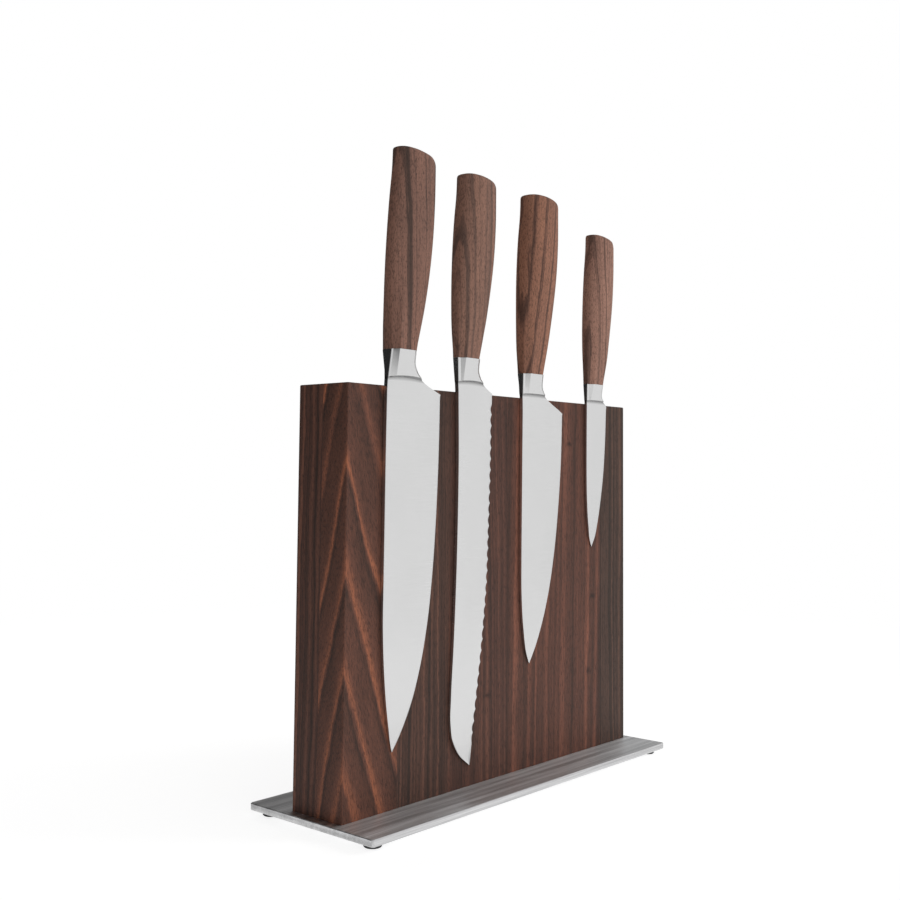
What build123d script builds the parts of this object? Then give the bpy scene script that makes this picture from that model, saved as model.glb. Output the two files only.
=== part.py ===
from build123d import *
import math
import os

# Free-standing magnetic knife block with its four knives.
#
# A walnut block stands on edge on a brushed steel plate with rubber feet. The block is two boards
# glued face to face, each board glued up from upright staves. Slots milled in the inner faces hold
# rows of ferrite magnets on both sides of a steel yoke, so knives hold on the front and the back.
#
# Millimetres. +X to the right along the block, +Y to the back, +Z up.
# Origin: the middle of the footprint, on the surface that the feet stand on.

# ---- Feet and base plate ----
FOOT_HEIGHT = 3.0
FOOT_RADIUS = 5.0
FOOT_CHAMFER = 0.5
FOOT_INSET = 9.0
PLATE_LENGTH = 294.0
PLATE_DEPTH = 100.0
PLATE_THICKNESS = 4.0
PLATE_CORNER_RADIUS = 2.0
PLATE_EDGE_CHAMFER = 0.4

# ---- Walnut block ----
BLOCK_LENGTH = 282.0
BLOCK_DEPTH = 40.0
BLOCK_HEIGHT = 240.0
BLOCK_EDGE_RADIUS = 0.8
FRONT_STAVE_WIDTHS = (43.0, 44.0, 56.0, 108.0, 31.0)
REAR_STAVE_WIDTHS = (36.0, 60.0, 72.0, 61.0, 53.0)

# ---- Magnets and yokes, in slots that are open at the glued middle of the block ----
SKIN_OVER_MAGNETS = 2.5
YOKE_THICKNESS = 3.0
MAGNET_LENGTH = 38.0
MAGNET_GAP = 4.0
MAGNET_CHAMFER = 0.5
MAGNETS_IN_ROW = 6
MAGNET_HEIGHT = 20.0
SLOT_HEIGHT = 20.4
SLOT_END_ROOM = 4.0
SLOT_CORNER_RADIUS = 3.0
ROW_HEIGHTS = {"lower": 120.0, "upper": 200.0}

# ---- Fasteners ----
DOWEL_RADIUS = 4.0
DOWEL_LENGTH = 24.0
DOWEL_CHAMFER = 1.0
DOWEL_PLACES = [(x, z) for x in (-120.0, -20.0, 120.0) for z in (55.0, 160.0)]
SCREW_SPACING_X = 236.0
SCREW_SPACING_Y = 20.0
SCREW_RADIUS = 3.0
SCREW_HEAD_RADIUS = 6.0
SCREW_LENGTH = 16.0
SCREW_TIP_CHAMFER = 0.5
SCREW_SOCKET_ACROSS_FLATS = 4.0
SCREW_SOCKET_DEPTH = 2.4
SCREW_CLEARANCE = 0.2
INSERT_RADIUS = 5.0
INSERT_LENGTH = 13.0
INSERT_GROOVES = 4
INSERT_GROOVE_DEPTH = 0.6
INSERT_BORE_CLEARANCE = 0.05
HOLE_END_ROOM = 1.0  # that a drilled hole is longer than what goes in it

# ---- What the four knives share ----
KNIFE_GAP = 0.2  # between a blade's back and the block
EDGE_THICKNESS = 0.4
TIP_THICKNESS = 1.8
POINT_LENGTH = 15.0  # over which the blade thins to half of the tip's thickness
SHOULDER_STEPS = ((0.0, 1.0), (0.6, 0.3), (2.0, 0.03))  # (below the bolster, share of its thickness)
BELLY_FLAT = (0.3, 0.13)  # share of the bolster's thickness at the joint and at the shoulder
OVERLAP = 1.0  # of the solids that make up one blade
TANG_WIDTH = 8.0
TANG_THICKNESS = 4.0
TANG_LENGTH = 72.0
TANG_CHAMFER = 1.0
TANG_CLEARANCE = 0.2
BUTT_SPINE_RADIUS = 0.8
BUTT_BELLY_RADIUS = 4.3
BUTT_DROP = 2.6
BUTT_CROWN = 0.7  # how far the butt's middle lies below its spine end
BUTT_FALL = 0.2  # for each millimetre in X, at the butt's belly end
SECTION_EXPONENT = 2.31  # 2 is an ellipse, and more is squarer
SECTION_POINTS = 20
# A full-size handle: (fraction of its length, spine X, belly X, share from slim to full)
HANDLE_STATIONS = (
    (0.0, 0.3, 20.8, 0.0),
    (0.16, -0.37, 25.83, 0.27),
    (0.35, -0.57, 30.34, 0.63),
    (0.55, 0.58, 33.6, 0.99),
    (0.75, 2.54, 35.11, 1.1),
    (0.9, 4.51, 35.35, 1.0),
    (1.05, 5.25, 35.2, 1.0),
)

# Each knife in its own frame: X from spine to edge, Y = 0 at the blade's back, Z up, and the origin
# where the spine meets the joint of bolster and handle. "place" is that point in the part's X and Z.
# Blade stations run down from the heel to the point: (distance below the joint, spine X, edge X).
# Belly points run down from the joint to the heel: (distance below the joint, X). Pairs of bolster
# sizes are at the joint and at the shoulder. The ledge beside the spine flat is (size in X, in Y).
# The handle's half thickness is (slim, full).
KNIVES = {
    "chefs_knife": {
        "place": (-111.5, 268.0),
        "blade": [
            (23.7, -1.6, 47.0),
            (60.0, -1.8, 46.2),
            (100.0, -1.8, 44.2),
            (130.0, -1.8, 41.6),
            (160.0, -1.6, 37.3),
            (185.0, 0.1, 31.2),
            (205.0, 2.6, 23.7),
            (220.0, 5.5, 15.3),
            (228.5, 8.0, 9.2),
        ],
        "belly": [
            (0.0, 21.7),
            (4.0, 21.7),
            (8.0, 22.1),
            (10.7, 23.4),
            (13.0, 25.0),
            (15.2, 27.2),
            (17.4, 31.0),
            (19.5, 35.4),
            (21.5, 40.9),
            (23.7, 47.0),
        ],
        "spine_thickness": 3.1,
        "bolster_height": 16.0,
        "bolster_half_thickness": (7.2, 4.8),
        "bolster_spine_flat": (5.8, 3.0),
        "bolster_bevel": (2.9, 3.9),
        "bolster_ledge": (0.9, 0.65),
        "bolster_belly_bevel": 5.0,
        "handle_length": 119.0,
        "handle_depth_scale": 1.033,
        "handle_shift": -0.31,
        "handle_half_thickness": (8.0, 8.43),
    },
    "bread_knife": {
        "place": (-52.1, 268.0),
        "blade": [
            (20.3, 1.5, 37.4),
            (60.0, 2.5, 37.0),
            (100.0, 2.4, 35.5),
            (140.0, 1.5, 33.6),
            (175.0, 0.0, 29.6),
            (205.0, -1.7, 25.0),
            (221.0, -1.8, 22.4),
            (233.0, 1.2, 20.2),
            (241.0, 7.3, 19.0),
            (248.0, 16.6, 18.0),
        ],
        "belly": [
            (0.0, 21.1),
            (4.4, 21.1),
            (8.2, 21.6),
            (10.7, 23.0),
            (13.1, 24.8),
            (15.4, 28.0),
            (17.7, 31.9),
            (20.3, 37.4),
        ],
        "spine_thickness": 3.1,
        "bolster_height": 14.5,
        "bolster_half_thickness": (5.5, 3.4),
        "bolster_spine_flat": (4.4, 3.4),
        "bolster_bevel": (4.0, 2.9),
        "bolster_ledge": (1.7, 0.36),
        "bolster_belly_bevel": 4.0,
        "handle_length": 115.0,
        "handle_depth_scale": 0.958,
        "handle_shift": -0.38,
        "handle_half_thickness": (6.6, 9.72),
    },
    "small_chefs_knife": {
        "place": (13.8, 263.0),
        "blade": [
            (24.4, 0.7, 48.4),
            (56.0, 0.7, 47.2),
            (90.0, 0.8, 43.9),
            (120.0, 0.9, 39.2),
            (145.0, 1.5, 33.1),
            (165.0, 3.6, 25.8),
            (180.0, 6.8, 18.3),
            (189.0, 11.2, 12.4),
        ],
        "belly": [
            (0.0, 21.8),
            (5.0, 21.8),
            (9.0, 22.4),
            (11.1, 23.8),
            (13.4, 26.2),
            (15.2, 28.6),
            (17.4, 32.7),
            (19.8, 38.1),
            (22.3, 44.1),
            (24.4, 48.4),
        ],
        "spine_thickness": 2.8,
        "bolster_height": 13.2,
        "bolster_half_thickness": (5.6, 3.9),
        "bolster_spine_flat": (4.3, 3.2),
        "bolster_bevel": (3.8, 3.8),
        "bolster_ledge": (1.4, 0.45),
        "bolster_belly_bevel": 4.0,
        "handle_length": 119.7,
        "handle_depth_scale": 0.999,
        "handle_shift": -0.48,
        "handle_half_thickness": (6.6, 10.23),
    },
    "paring_knife": {
        "place": (88.9, 261.0),
        "blade": [
            (15.4, 0.6, 28.0),
            (45.0, 0.6, 26.3),
            (65.0, 0.8, 24.1),
            (83.0, 1.6, 20.7),
            (98.0, 3.2, 17.0),
            (108.0, 5.5, 13.5),
            (114.3, 8.5, 9.6),
        ],
        "belly": [
            (0.0, 19.4),
            (4.0, 19.2),
            (8.0, 19.4),
            (9.8, 20.4),
            (11.4, 22.4),
            (12.8, 25.2),
            (14.0, 27.2),
            (15.4, 28.0),
        ],
        "spine_thickness": 2.3,
        "bolster_height": 11.4,
        "bolster_half_thickness": (4.6, 2.8),
        "bolster_spine_flat": (3.6, 2.6),
        "bolster_bevel": (4.4, 2.7),
        "bolster_ledge": (1.5, 0.25),
        "bolster_belly_bevel": 3.1,
        "handle_length": 107.3,
        "handle_depth_scale": 0.89,
        "handle_shift": 0.17,
        "handle_half_thickness": (5.6, 7.34),
    },
}

# ---- Heights and planes worked out from the sizes above ----
PLATE_BOTTOM = FOOT_HEIGHT
PLATE_TOP = PLATE_BOTTOM + PLATE_THICKNESS
BOARD_THICKNESS = BLOCK_DEPTH / 2
SLOT_DEPTH = BOARD_THICKNESS - SKIN_OVER_MAGNETS
MAGNET_THICKNESS = SLOT_DEPTH - YOKE_THICKNESS / 2
ROW_LENGTH = MAGNETS_IN_ROW * MAGNET_LENGTH + (MAGNETS_IN_ROW - 1) * MAGNET_GAP
BLADE_BACK = -BLOCK_DEPTH / 2 - KNIFE_GAP
MID = (Align.CENTER, Align.CENTER, Align.CENTER)
STANDING = (Align.CENTER, Align.CENTER, Align.MIN)


def save(shape, name):
    """Write one sub-part as its own STEP file."""
    export_step(shape, f"parts/{name}.step")


def screw_places():
    """The X and Y of the four screws: two along each board."""
    return [
        (sx * SCREW_SPACING_X / 2, sy * SCREW_SPACING_Y / 2)
        for sx in (-1, 1)
        for sy in (-1, 1)
    ]


# ---- Base ----
def foot():
    """A turned rubber pad, narrower where it meets the table."""
    pad = Cylinder(FOOT_RADIUS, FOOT_HEIGHT, align=STANDING)
    return chamfer(pad.edges().group_by(Axis.Z)[0], FOOT_CHAMFER)


def base_plate():
    """The steel plate, with holes countersunk from below for the block's screws."""
    plate = Pos(0, 0, PLATE_BOTTOM) * Box(PLATE_LENGTH, PLATE_DEPTH, PLATE_THICKNESS, align=STANDING)
    plate = fillet(plate.edges().filter_by(Axis.Z), PLATE_CORNER_RADIUS)
    rims = plate.edges().group_by(Axis.Z)
    plate = chamfer(rims[0] + rims[-1], PLATE_EDGE_CHAMFER)
    hole_radius = SCREW_RADIUS + SCREW_CLEARANCE
    sink_radius = SCREW_HEAD_RADIUS + SCREW_CLEARANCE
    sink = Cone(sink_radius, hole_radius, sink_radius - hole_radius, align=STANDING)
    for x, y in screw_places():
        plate -= Pos(x, y, PLATE_BOTTOM) * Cylinder(hole_radius, PLATE_THICKNESS, align=STANDING)
        plate -= Pos(x, y, PLATE_BOTTOM) * sink
    return plate


def screw():
    """A countersunk socket screw, its head's face at Z = 0."""
    head = Cone(SCREW_HEAD_RADIUS, SCREW_RADIUS, SCREW_HEAD_RADIUS - SCREW_RADIUS, align=STANDING)
    shank = Cylinder(SCREW_RADIUS, SCREW_LENGTH, align=STANDING)
    shank = chamfer(shank.edges().group_by(Axis.Z)[-1], SCREW_TIP_CHAMFER)
    socket_radius = SCREW_SOCKET_ACROSS_FLATS / math.sqrt(3)
    socket = extrude(RegularPolygon(socket_radius, 6), SCREW_SOCKET_DEPTH)
    return head + shank - socket


def threaded_insert():
    """A brass insert with grooves outside that bite into the wood, its mouth at Z = 0."""
    body = Cylinder(INSERT_RADIUS, INSERT_LENGTH, align=STANDING)
    pitch = INSERT_LENGTH / (INSERT_GROOVES + 1)
    groove = Cylinder(2 * INSERT_RADIUS, pitch / 2, align=MID)
    groove -= Cylinder(INSERT_RADIUS - INSERT_GROOVE_DEPTH, pitch, align=MID)
    for n in range(INSERT_GROOVES):
        body -= Pos(0, 0, pitch * (n + 1)) * groove
    return body - Cylinder(SCREW_RADIUS + INSERT_BORE_CLEARANCE, INSERT_LENGTH, align=STANDING)


# ---- Walnut block ----
def row_slots():
    """The space of both magnet rows, with the round corners that the milling cutter leaves."""
    length = ROW_LENGTH + 2 * SLOT_END_ROOM
    outline = RectangleRounded(length, SLOT_HEIGHT, SLOT_CORNER_RADIUS)
    slot = extrude(Plane.XZ * outline, SLOT_DEPTH, both=True)
    return [Pos(0, 0, PLATE_TOP + height) * slot for height in ROW_HEIGHTS.values()]


def crosswise_pin(length):
    """A cylinder of the dowels' radius along Y."""
    return Cylinder(DOWEL_RADIUS, length, rotation=(90, 0, 0), align=MID)


def dowel():
    """A beech dowel across the glued joint, its ends chamfered."""
    return chamfer(crosswise_pin(DOWEL_LENGTH).edges().filter_by(GeomType.CIRCLE), DOWEL_CHAMFER)


def eased_block():
    """The whole block, its edges eased but for those that stand on the plate."""
    block = Box(BLOCK_LENGTH, BLOCK_DEPTH, BLOCK_HEIGHT, align=STANDING)
    eased = [edge for edge in block.edges() if edge.center().Z > 0]
    return Pos(0, 0, PLATE_TOP) * fillet(eased, BLOCK_EDGE_RADIUS)


def stave(left, width, front):
    """One upright stave of the front or rear board, cut out of the eased and machined block."""
    side = -1 if front else 1
    middle = (left + width / 2, side * BOARD_THICKNESS / 2, PLATE_TOP)
    piece = eased_block() & Pos(*middle) * Box(width, BOARD_THICKNESS, BLOCK_HEIGHT, align=STANDING)
    for slot in row_slots():
        piece -= slot
    dowel_hole = crosswise_pin(DOWEL_LENGTH + HOLE_END_ROOM)
    for x, z in DOWEL_PLACES:
        piece -= Pos(x, 0, PLATE_TOP + z) * dowel_hole
    depth = max(INSERT_LENGTH, SCREW_LENGTH - PLATE_THICKNESS) + HOLE_END_ROOM
    insert_hole = Cylinder(INSERT_RADIUS, depth, align=STANDING)
    for x, y in screw_places():
        piece -= Pos(x, y, PLATE_TOP) * insert_hole
    return piece


def staves(widths, front):
    """All the staves of one board, from left to right."""
    pieces = []
    left = -BLOCK_LENGTH / 2
    for width in widths:
        pieces.append(stave(left, width, front))
        left += width
    return pieces


def magnet_row(height, side):
    """A row of ferrite magnets between the yoke and the skin of one board."""
    pitch = MAGNET_LENGTH + MAGNET_GAP
    y = side * (YOKE_THICKNESS + MAGNET_THICKNESS) / 2
    magnet = Box(MAGNET_LENGTH, MAGNET_THICKNESS, MAGNET_HEIGHT, align=MID)
    magnet = chamfer(magnet.edges(), MAGNET_CHAMFER)
    first = -(MAGNETS_IN_ROW - 1) * pitch / 2
    return Compound(
        [Pos(first + n * pitch, y, PLATE_TOP + height) * magnet for n in range(MAGNETS_IN_ROW)]
    )


def yoke(height):
    """The steel strip that both rows of magnets lie against."""
    strip = Box(ROW_LENGTH, YOKE_THICKNESS, MAGNET_HEIGHT, align=MID)
    return Pos(0, 0, PLATE_TOP + height) * strip


# ---- Knives, each in its own frame ----
def between(a, b, share):
    """The value at a share of the way from a to b."""
    return a + (b - a) * share


def belly_at(knife, drop):
    """The belly's X at a distance below the joint, down to the heel."""
    rows = knife["belly"]
    for (above, x_above), (below, x_below) in zip(rows, rows[1:]):
        if drop <= below:
            return between(x_above, x_below, (drop - above) / (below - above))
    return rows[-1][1]


def spine_at(knife, drop):
    """The spine's X at a distance below the joint, down to the heel."""
    heel_drop, heel_spine, _ = knife["blade"][0]
    return heel_spine * drop / heel_drop


def front_at(knife, x):
    """The Y of the blade's front face above the heel: a wedge from the spine to the edge."""
    _, heel_spine, heel_edge = knife["blade"][0]
    share = max(0.0, (x - heel_spine) / (heel_edge - heel_spine))
    return -between(knife["spine_thickness"], EDGE_THICKNESS, share)


def blade_thickness(knife, drop):
    """The thickness at the spine, which tapers from the heel and halves over the point."""
    top, bottom = knife["blade"][0][0], knife["blade"][-1][0]
    thickness = between(knife["spine_thickness"], TIP_THICKNESS, (drop - top) / (bottom - top))
    into_point = max(0.0, 1 - (bottom - drop) / POINT_LENGTH)
    return thickness * (1 - into_point / 2)


def blade_below_heel(knife):
    """The blade from the heel to the point: four faces between four smooth lines, and two ends."""
    lines = [[], [], [], []]
    for drop, spine_x, edge_x in knife["blade"]:
        lines[0].append((spine_x, 0, -drop))
        lines[1].append((spine_x, -blade_thickness(knife, drop), -drop))
        lines[2].append((edge_x, -EDGE_THICKNESS, -drop))
        lines[3].append((edge_x, 0, -drop))
    curves = [Edge.make_spline(line) for line in lines]
    sides = [
        Face.make_surface_from_curves(curves[n], curves[(n + 1) % 4]) for n in range(4)
    ]
    ends = [make_face(Polyline(*(line[n] for line in lines), close=True)) for n in (0, -1)]
    return Solid(Shell(sides + ends))


def ricasso(knife):
    """The flat between the heel and the bolster, with the round chin that a finger rests in."""
    heel_drop, spine_x, edge_x = knife["blade"][0]
    thickness = knife["spine_thickness"]
    top = knife["bolster_height"] - OVERLAP
    start = (belly_at(knife, top), 0, -top)
    chin = [(x, 0, -drop) for drop, x in knife["belly"] if drop > top]
    outline = Spline(start, *chin)
    outline += Polyline(chin[-1], (spine_x, 0, -heel_drop), (spine_at(knife, top), 0, -top), start)
    plate = extrude(make_face(outline.edges()), thickness, dir=(0, -1, 0))
    left = min(0.0, spine_x) - OVERLAP
    corners = [(left, 0), (left, -thickness), (spine_x, -thickness), (edge_x, -EDGE_THICKNESS), (edge_x, 0)]
    wedge = make_face(Polyline(*((x, y, -heel_drop) for x, y in corners), close=True))
    return plate & extrude(wedge, heel_drop, dir=(0, 0, 1))


def bolster_section(knife, drop, fullness=1.0):
    """Ten corners: on each side the spine flat's, the ledge, the bevel, the broad side and the belly.

    A fullness of 0 would be as thin as the blade."""
    share = min(1.0, drop / knife["bolster_height"])
    half = between(*knife["bolster_half_thickness"], share)
    flat = between(*knife["bolster_spine_flat"], share)
    bevel = between(*knife["bolster_bevel"], share)
    spine_x = spine_at(knife, drop)
    belly_x = belly_at(knife, drop)
    ledge_x, ledge_y = knife["bolster_ledge"]
    side = [
        (spine_x, flat / 2),
        (spine_x + ledge_x, flat / 2 + ledge_y),
        (spine_x + bevel, half),
        (belly_x - knife["bolster_belly_bevel"], half),
        (belly_x, between(*BELLY_FLAT, share) * half),
    ]
    middle = -knife["spine_thickness"] / 2
    front = [(x, between(front_at(knife, x), middle - y, fullness), -drop) for x, y in side]
    back = [(x, between(0.0, middle + y, fullness), -drop) for x, y in reversed(side)]
    return make_face(Polyline(*front, *back, close=True))


def bolster(knife):
    """The forged collar, which thins towards the blade and ends in a hollow shoulder."""
    height = knife["bolster_height"]
    drops = [drop for drop, _ in knife["belly"] if drop < height] + [height]
    collar = [bolster_section(knife, drop) for drop in reversed(drops)]
    shoulder = [
        bolster_section(knife, height + below, share) for below, share in reversed(SHOULDER_STEPS)
    ]
    return loft(collar, ruled=True) + loft(shoulder, ruled=True)


def tang(knife, clearance=0.0):
    """The rod inside the handle, or with a clearance the hole for it."""
    rod = Box(
        TANG_WIDTH + 2 * clearance,
        TANG_THICKNESS + 2 * clearance,
        TANG_LENGTH + clearance,
        align=STANDING,
    )
    rod = chamfer(rod.edges().group_by(Axis.Z)[-1], TANG_CHAMFER)
    return Pos(belly_at(knife, 0) / 2, -knife["spine_thickness"] / 2, 0) * rod


def blade(knife):
    """Blade, bolster and tang, forged in one."""
    return blade_below_heel(knife) + ricasso(knife) + bolster(knife) + tang(knife)


def handle_outline(knife, along):
    """Spine X, belly X and half thickness at one of the handle's stations."""
    _, spine_x, belly_x, fullness = HANDLE_STATIONS[along]
    scale = knife["handle_depth_scale"]
    if along == 0:
        return spine_x * scale, belly_x * scale, knife["bolster_half_thickness"][0]
    shift = knife["handle_shift"]
    half_thickness = between(*knife["handle_half_thickness"], fullness)
    return spine_x * scale + shift, belly_x * scale + shift, half_thickness


def handle_section(spine_x, belly_x, half_thickness, middle, z):
    """A rounded outline through points of a superellipse."""
    half_depth = (belly_x - spine_x) / 2
    power = 2 / SECTION_EXPONENT
    points = []
    for n in range(SECTION_POINTS):
        angle = 2 * math.pi * n / SECTION_POINTS
        cos, sin = math.cos(angle), math.sin(angle)
        x = half_depth * math.copysign(abs(cos) ** power, cos)
        y = half_thickness * math.copysign(abs(sin) ** power, sin)
        points.append((spine_x + half_depth + x, middle + y, z))
    return make_face(Spline(*points, periodic=True))


def handle(knife):
    """One piece of walnut, slim at the bolster and full at the butt, with a hole for the tang."""
    length = knife["handle_length"]
    middle = -knife["spine_thickness"] / 2
    sections = [
        handle_section(*handle_outline(knife, n), middle, station[0] * length)
        for n, station in enumerate(HANDLE_STATIONS)
    ]
    return (loft(sections, ruled=False) & butt_envelope(knife)) - tang(knife, TANG_CLEARANCE)


def butt_envelope(knife):
    """The side view that the handle is cut to: a sloping, slightly crowned butt with round corners."""
    length = knife["handle_length"]
    left, _, _ = handle_outline(knife, -1)
    _, right, thickest = handle_outline(knife, -2)
    spine_end = (left, length - BUTT_SPINE_RADIUS)
    crown_start = (left + BUTT_SPINE_RADIUS, length)
    crown_middle = ((left + right) / 2, length - BUTT_CROWN)
    crown_end = (right - BUTT_BELLY_RADIUS, length - BUTT_DROP)
    belly_end = (right, length - BUTT_DROP - BUTT_BELLY_RADIUS)
    far_left, far_right = -right, 2 * right
    outline = (
        TangentArc(crown_start, spine_end, tangent=(-1, 0))
        + ThreePointArc(crown_start, crown_middle, crown_end)
        + TangentArc(crown_end, belly_end, tangent=(1, -BUTT_FALL))
        + Polyline(belly_end, (far_right, length / 2), (far_right, 0), (far_left, 0))
        + Polyline((far_left, 0), (far_left, length / 2), spine_end)
    )
    return extrude(Plane.XZ * make_face(outline.edges()), 3 * thickest, both=True)


# ---- Write every sub-part ----
os.makedirs("parts", exist_ok=True)

save(base_plate(), "base_plate")
foot_x = PLATE_LENGTH / 2 - FOOT_INSET
foot_y = PLATE_DEPTH / 2 - FOOT_INSET
for depth_word, y in (("front", -foot_y), ("rear", foot_y)):
    for side_word, x in (("left", -foot_x), ("right", foot_x)):
        save(Pos(x, y, 0) * foot(), f"foot_{depth_word}_{side_word}")

screw_z = PLATE_BOTTOM + SCREW_CLEARANCE
save(Compound([Pos(x, y, screw_z) * screw() for x, y in screw_places()]), "base_screws")
save(
    Compound([Pos(x, y, PLATE_TOP) * threaded_insert() for x, y in screw_places()]),
    "threaded_inserts",
)
save(Compound([Pos(x, 0, PLATE_TOP + z) * dowel() for x, z in DOWEL_PLACES]), "board_dowels")

for number, piece in enumerate(staves(FRONT_STAVE_WIDTHS, True), 1):
    save(piece, f"front_stave_{number}")
for number, piece in enumerate(staves(REAR_STAVE_WIDTHS, False), 1):
    save(piece, f"rear_stave_{number}")

for row, height in ROW_HEIGHTS.items():
    save(yoke(height), f"{row}_yoke")
    save(magnet_row(height, -1), f"front_magnets_{row}")
    save(magnet_row(height, 1), f"rear_magnets_{row}")

for name, knife in KNIVES.items():
    x, z = knife["place"]
    place = Pos(x, BLADE_BACK, z)
    save(place * blade(knife), f"{name}_blade")
    save(place * handle(knife), f"{name}_handle")
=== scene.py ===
import math

import bpy
from mathutils import Matrix, Vector


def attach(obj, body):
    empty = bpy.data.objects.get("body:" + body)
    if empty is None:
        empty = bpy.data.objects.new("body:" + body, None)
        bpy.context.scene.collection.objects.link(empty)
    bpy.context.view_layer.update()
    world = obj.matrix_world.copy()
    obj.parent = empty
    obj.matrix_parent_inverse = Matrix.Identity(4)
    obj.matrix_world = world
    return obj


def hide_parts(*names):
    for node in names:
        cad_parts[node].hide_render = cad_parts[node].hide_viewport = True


# Looks for the magnetic knife block. The plate, feet, staves and inner parts keep their CAD meshes
# and get materials. The blades and handles are finer meshes that stand for the CAD ones.
# The object's sizes are in millimetres in the row frame, and turn into metres where a mesh is made.
MM = 0.001

# ---- Camera: place, lens and sensor in millimetres, angles in degrees, shift in frame widths ----
CAMERA_PLACE = (-574.2, -471.4, 196.6)
CAMERA_AZIMUTH = -49.0
CAMERA_ELEVATION = -3.75
CAMERA_ROLL = 0.53
CAMERA_LENS = 45.24
CAMERA_SENSOR = 36.0
CAMERA_SHIFT_Y = -1 / 18
CAMERA_CLIP_START = 10.0

# ---- Stage: lengths in metres ----
SOFTBOXES = {
    "key": {"place": (1.8, -1.7, 1.2), "target": (0, 0, 0.15), "size": 1.0, "power": 20},
    "fill": {"place": (0.7, 2.2, 1.3), "target": (0, 0, 0.2), "size": 1.6, "power": 22},
}
STUDIO_BRIGHT_SIDE = (0.42, -0.91, 0.25)  # the direction in which the studio is brightest
STUDIO_FALL = (-0.6, 0.9)  # how far a direction faces that way where it is darkest and brightest
STUDIO_LIGHT = (0.02, 0.89)
FLOOR_RADIUS = 1.2
FLOOR_SIDES = 96
FLOOR_TONE = 0.35
FLOOR_FADE = (0.15, 1.0)  # how far out the pale floor starts to turn white, and is white
FLOOR_GLOW = (0.8, 0.68)  # as seen, and as mirrored in the object
WHITE_GLOW = (1.0, 0.88)

# ---- Blades ----
BLADE_BACK_Y = -20.2  # just clear of the block's front face
EDGE_THICKNESS = 0.4
TIP_THICKNESS = 1.8
POINT_LENGTH = 15.0  # over which the blade thins to half of the tip's thickness
HEEL_GRIND = 1.0  # over which the honed edge starts below the heel
HONED_WIDTH = 0.7
HONED_SHARE = 0.12  # what honing leaves of the edge's thickness
HONED_BACK_SHARE = 0.7  # how wide the hone is on the back, as a share of the front's
BEVEL_LIMIT = 0.3  # the most that a bevel takes of the blade's width
LEAST_WIDTH = 0.1
SERRATED_KNIFE = "bread_knife"
SERRATED_HONED_WIDTH = 2.2  # wider, so that the face stays flat beside the scallops
SERRATED_WIDENING = (22.0, 28.0)  # below the joint, as are the next three
SERRATION_CREST = 26.5
SERRATION_START = (24.0, 30.0)
SERRATION_END = (228.0, 238.0)
SERRATION_PITCH = 7.0
SERRATION_DEPTH = 1.3
SERRATION_EXPONENT = 0.85  # under 1 makes the crests sharper
BELLY_FLAT = (0.3, 0.13)  # share of the bolster's thickness at the joint and at the shoulder
SHOULDER_LENGTH = 5.0
SHOULDER_DECAY = 2.6  # how fast the front thins in each millimetre below the bolster
SHOULDER_FADE_START = 2.0
SHOULDER_BACK_LENGTH = 2.0
SHOULDER_OUTLINE_LENGTH = 1.2  # over which the bolster's corners move to the blade's
ARCH_START = 0.3  # share of the bolster's height
ARCH_END = 6.0  # below the bolster
PAINTED_SHADE_START = (0.0, 0.15)  # below the bolster, where the shade painted into the hollow under the bolster begins
PAINTED_SHADE_END = (0.5, 2.6)
JOINT_EASE = 0.015  # how far the topmost ring is drawn in
BLADE_SMOOTH_ANGLE = 12  # degrees, above which an edge of the mesh stays sharp

# ---- Rings of points of a blade ----
COLLAR_RINGS = 8
COLLAR_END_STEP = 0.15
SHOULDER_STEPS = (0.15, 0.4, 0.8, 1.3, 2.0)
CHOIL_START = 2.5
CHOIL_STEP = 0.4
CHOIL_END_ROOM = 0.2
HEEL_STEP = 0.5
HEEL_STEPS_END = 2.5
BLADE_STEP = 2.0
SERRATED_RINGS = 14  # in each scallop
POINT_ROOM = 12.0
POINT_RINGS = 16
BROAD_STEPS = 6
# How far each of a ring's ten corners is cut back, from the front of the spine to its back
BOLSTER_CUTS = (0.2, 0.1, 0.2, 1.2, 0.3, 0.3, 1.2, 0.2, 0.1, 0.2)
BLADE_CUTS = (0.2, 0.05, 0.3, 0.1, 0.02, 0.02, 0.1, 0.3, 0.05, 0.2)
CUT_LIMIT = 0.4  # the most that a cut takes of a side

# ---- Handles ----
# A full-size handle: (fraction of its length, spine X, belly X, share from slim to full)
HANDLE_STATIONS = [
    (0.0, 0.3, 20.8, 0.0),
    (0.16, -0.37, 25.83, 0.27),
    (0.35, -0.57, 30.34, 0.63),
    (0.55, 0.58, 33.6, 0.99),
    (0.75, 2.54, 35.11, 1.1),
    (0.9, 4.51, 35.35, 1.0),
    (1.05, 5.25, 35.2, 1.0),
]
SECTION_EXPONENT = 2.31  # 2 is an ellipse, and more is squarer
SHIFT_LENGTH = 20.0  # above the joint, over which the handle's shift comes in
BOLSTER_FADE = 26.0  # above the joint, where the bolster's thickness has turned into the handle's
FACETS_FADE = 48.0  # above the joint, where the bolster's facets have faded out
HANDLE_START = 0.02
BUTT_SPINE_RADIUS = 0.8
BUTT_SIDE_RADIUS = 2.5
BUTT_SIDE_END = 0.45  # cosine of the angle where the side's radius starts to change
BUTT_DROP = 3.6
BUTT_SLOPE_END = 1.15
WALL_RINGS = 44
RIM_RINGS = 8
BUTT_RINGS = (0.8, 0.5, 0.2)  # their shares of the butt's size
HANDLE_SMOOTH_ANGLE = 35
HANDLE_COLUMNS = 72
HANDLE_ANGLES = [2 * math.pi * n / HANDLE_COLUMNS for n in range(HANDLE_COLUMNS)]

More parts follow.
